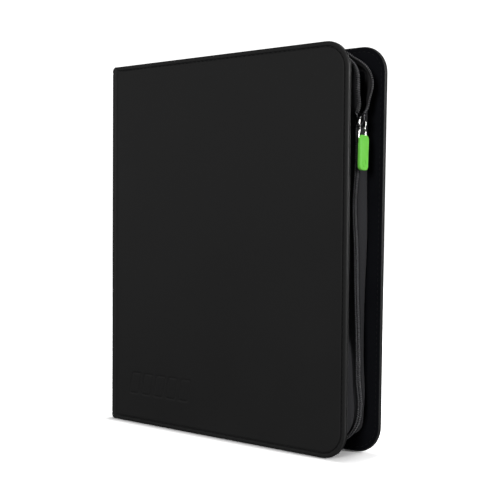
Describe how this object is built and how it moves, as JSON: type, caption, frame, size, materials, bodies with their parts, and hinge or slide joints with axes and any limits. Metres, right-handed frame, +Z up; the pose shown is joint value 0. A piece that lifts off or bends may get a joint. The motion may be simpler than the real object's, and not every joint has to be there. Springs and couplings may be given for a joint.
{
  "type": "zip-around trading card binder",
  "caption": "Upright zip-around binder with stiff padded-look covers, a flexible spine, nine-pocket leaves and a coil zip with a silicone pull.",
  "frame": {"origin": "middle of the footprint, on the surface that the closed binder stands on", "axes": "+X from the spine to the fore-edge, +Y from the front cover to the back cover, +Z up"},
  "size_m": [0.288, 0.0436, 0.35],
  "materials": {
    "cover_leatherette": "matte fine-grained leatherette",
    "grey_board": "raw bookbinding board",
    "inner_lining": "matte smooth lining",
    "black_thread": "polyester sewing thread",
    "zip_tape": "ribbed woven tape",
    "zip_coil": "moulded nylon coil",
    "slider_metal": "bright nickel plate",
    "green_silicone": "satin silicone",
    "page_sheet": "matte polypropylene",
    "clear_film": "clear polypropylene film"
  },
  "bodies": {
    "spine": {"spine_skin": "cover_leatherette", "spine_board": "grey_board", "spine_lining": "inner_lining", "page_binding_strip": "inner_lining", "zip_end_tabs": "cover_leatherette"},
    "front_cover": {"front_cover_skin": "cover_leatherette", "front_cover_board": "grey_board", "front_cover_lining": "inner_lining", "front_cover_stitching": "black_thread", "front_zip_tape": "zip_tape", "front_zip_coil": "zip_coil"},
    "back_cover": {"back_cover_skin": "cover_leatherette", "back_cover_board": "grey_board", "back_cover_lining": "inner_lining", "back_cover_stitching": "black_thread", "back_zip_tape": "zip_tape", "back_zip_coil": "zip_coil"},
    "slider": {"slider_body": "slider_metal"},
    "zip_pull": {"pull_bail": "slider_metal", "pull_tab": "green_silicone"},
    "page_01": {"page_01_sheet": "page_sheet", "page_01_pockets": "clear_film"},
    "page_02": {"page_02_sheet": "page_sheet", "page_02_pockets": "clear_film"},
    "page_03": {"page_03_sheet": "page_sheet", "page_03_pockets": "clear_film"},
    "page_04": {"page_04_sheet": "page_sheet", "page_04_pockets": "clear_film"},
    "page_05": {"page_05_sheet": "page_sheet", "page_05_pockets": "clear_film"},
    "page_06": {"page_06_sheet": "page_sheet", "page_06_pockets": "clear_film"},
    "page_07": {"page_07_sheet": "page_sheet", "page_07_pockets": "clear_film"},
    "page_08": {"page_08_sheet": "page_sheet", "page_08_pockets": "clear_film"},
    "page_09": {"page_09_sheet": "page_sheet", "page_09_pockets": "clear_film"},
    "page_10": {"page_10_sheet": "page_sheet", "page_10_pockets": "clear_film"},
    "page_11": {"page_11_sheet": "page_sheet", "page_11_pockets": "clear_film"},
    "page_12": {"page_12_sheet": "page_sheet", "page_12_pockets": "clear_film"},
    "page_13": {"page_13_sheet": "page_sheet", "page_13_pockets": "clear_film"},
    "page_14": {"page_14_sheet": "page_sheet", "page_14_pockets": "clear_film"},
    "page_15": {"page_15_sheet": "page_sheet", "page_15_pockets": "clear_film"},
    "page_16": {"page_16_sheet": "page_sheet", "page_16_pockets": "clear_film"},
    "page_17": {"page_17_sheet": "page_sheet", "page_17_pockets": "clear_film"},
    "page_18": {"page_18_sheet": "page_sheet", "page_18_pockets": "clear_film"},
    "page_19": {"page_19_sheet": "page_sheet", "page_19_pockets": "clear_film"},
    "page_20": {"page_20_sheet": "page_sheet", "page_20_pockets": "clear_film"}
  },
  "joints": [
    {"name": "front_cover_hinge", "type": "hinge", "parent": "spine", "child": "front_cover", "pos_m": [-0.1395, -0.0221, 0], "axis": [0, 0, -1], "range_deg": [0, 178], "deforming": ["front_zip_tape", "front_zip_coil"]},
    {"name": "back_cover_hinge", "type": "hinge", "parent": "spine", "child": "back_cover", "pos_m": [-0.1315, 0.0221, 0], "axis": [0, 0, 1], "range_deg": [0, 178]},
    {"name": "zip_slide", "type": "slide", "parent": "back_cover", "child": "slider", "axis": [0, 0, 1], "range_m": [-0.23, 0.022], "deforming": ["back_zip_tape", "back_zip_coil"]},
    {"name": "pull_hinge", "type": "hinge", "parent": "slider", "child": "zip_pull", "pos_m": [0.13545, 0, 0.2875], "axis": [0, -1, 0], "range_deg": [0, 150]},
    {"name": "page_01_hinge", "type": "hinge", "parent": "spine", "child": "page_01", "pos_m": [-0.13106, -0.01615, 0], "axis": [0, 0, -1], "range_deg": [0, 78.82]},
    {"name": "page_02_hinge", "type": "hinge", "parent": "spine", "child": "page_02", "pos_m": [-0.13075, -0.01445, 0], "axis": [0, 0, -1], "range_deg": [0, 74.98]},
    {"name": "page_03_hinge", "type": "hinge", "parent": "spine", "child": "page_03", "pos_m": [-0.13043, -0.01275, 0], "axis": [0, 0, -1], "range_deg": [0, 71.13]},
    {"name": "page_04_hinge", "type": "hinge", "parent": "spine", "child": "page_04", "pos_m": [-0.13012, -0.01105, 0], "axis": [0, 0, -1], "range_deg": [0, 67.3]},
    {"name": "page_05_hinge", "type": "hinge", "parent": "spine", "child": "page_05", "pos_m": [-0.12981, -0.00935, 0], "axis": [0, 0, -1], "range_deg": [0, 63.46]},
    {"name": "page_06_hinge", "type": "hinge", "parent": "spine", "child": "page_06", "pos_m": [-0.1295, -0.00765, 0], "axis": [0, 0, -1], "range_deg": [0, 59.61]},
    {"name": "page_07_hinge", "type": "hinge", "parent": "spine", "child": "page_07", "pos_m": [-0.12919, -0.00595, 0], "axis": [0, 0, -1], "range_deg": [0, 55.77]},
    {"name": "page_08_hinge", "type": "hinge", "parent": "spine", "child": "page_08", "pos_m": [-0.12888, -0.00425, 0], "axis": [0, 0, -1], "range_deg": [0, 51.92]},
    {"name": "page_09_hinge", "type": "hinge", "parent": "spine", "child": "page_09", "pos_m": [-0.12857, -0.00255, 0], "axis": [0, 0, -1], "range_deg": [0, 48.1]},
    {"name": "page_10_hinge", "type": "hinge", "parent": "spine", "child": "page_10", "pos_m": [-0.12826, -0.00085, 0], "axis": [0, 0, -1], "range_deg": [0, 44.25]},
    {"name": "page_11_hinge", "type": "hinge", "parent": "spine", "child": "page_11", "pos_m": [-0.12794, 0.00085, 0], "axis": [0, 0, -1], "range_deg": [0, 40.41]},
    {"name": "page_12_hinge", "type": "hinge", "parent": "spine", "child": "page_12", "pos_m": [-0.12763, 0.00255, 0], "axis": [0, 0, -1], "range_deg": [0, 36.56]},
    {"name": "page_13_hinge", "type": "hinge", "parent": "spine", "child": "page_13", "pos_m": [-0.12732, 0.00425, 0], "axis": [0, 0, -1], "range_deg": [0, 32.74]},
    {"name": "page_14_hinge", "type": "hinge", "parent": "spine", "child": "page_14", "pos_m": [-0.12701, 0.00595, 0], "axis": [0, 0, -1], "range_deg": [0, 28.89]},
    {"name": "page_15_hinge", "type": "hinge", "parent": "spine", "child": "page_15", "pos_m": [-0.1267, 0.00765, 0], "axis": [0, 0, -1], "range_deg": [0, 25.05]},
    {"name": "page_16_hinge", "type": "hinge", "parent": "spine", "child": "page_16", "pos_m": [-0.12639, 0.00935, 0], "axis": [0, 0, -1], "range_deg": [0, 21.2]},
    {"name": "page_17_hinge", "type": "hinge", "parent": "spine", "child": "page_17", "pos_m": [-0.12608, 0.01105, 0], "axis": [0, 0, -1], "range_deg": [0, 17.36]},
    {"name": "page_18_hinge", "type": "hinge", "parent": "spine", "child": "page_18", "pos_m": [-0.12577, 0.01275, 0], "axis": [0, 0, -1], "range_deg": [0, 13.53]},
    {"name": "page_19_hinge", "type": "hinge", "parent": "spine", "child": "page_19", "pos_m": [-0.12546, 0.01445, 0], "axis": [0, 0, -1], "range_deg": [0, 9.68]},
    {"name": "page_20_hinge", "type": "hinge", "parent": "spine", "child": "page_20", "pos_m": [-0.12514, 0.01615, 0], "axis": [0, 0, -1], "range_deg": [0, 5.84]}
  ],
  "couplings": [
    {"joint": "page_01_hinge", "follows": "front_cover_hinge", "ratio": 0.44},
    {"joint": "page_02_hinge", "follows": "front_cover_hinge", "ratio": 0.4184},
    {"joint": "page_03_hinge", "follows": "front_cover_hinge", "ratio": 0.3968},
    {"joint": "page_04_hinge", "follows": "front_cover_hinge", "ratio": 0.3753},
    {"joint": "page_05_hinge", "follows": "front_cover_hinge", "ratio": 0.3537},
    {"joint": "page_06_hinge", "follows": "front_cover_hinge", "ratio": 0.3321},
    {"joint": "page_07_hinge", "follows": "front_cover_hinge", "ratio": 0.3105},
    {"joint": "page_08_hinge", "follows": "front_cover_hinge", "ratio": 0.2889},
    {"joint": "page_09_hinge", "follows": "front_cover_hinge", "ratio": 0.2674},
    {"joint": "page_10_hinge", "follows": "front_cover_hinge", "ratio": 0.2458},
    {"joint": "page_11_hinge", "follows": "front_cover_hinge", "ratio": 0.2242},
    {"joint": "page_12_hinge", "follows": "front_cover_hinge", "ratio": 0.2026},
    {"joint": "page_13_hinge", "follows": "front_cover_hinge", "ratio": 0.1811},
    {"joint": "page_14_hinge", "follows": "front_cover_hinge", "ratio": 0.1595},
    {"joint": "page_15_hinge", "follows": "front_cover_hinge", "ratio": 0.1379},
    {"joint": "page_16_hinge", "follows": "front_cover_hinge", "ratio": 0.1163},
    {"joint": "page_17_hinge", "follows": "front_cover_hinge", "ratio": 0.0947},
    {"joint": "page_18_hinge", "follows": "front_cover_hinge", "ratio": 0.0732},
    {"joint": "page_19_hinge", "follows": "front_cover_hinge", "ratio": 0.0516},
    {"joint": "page_20_hinge", "follows": "front_cover_hinge", "ratio": 0.03}
  ]
}
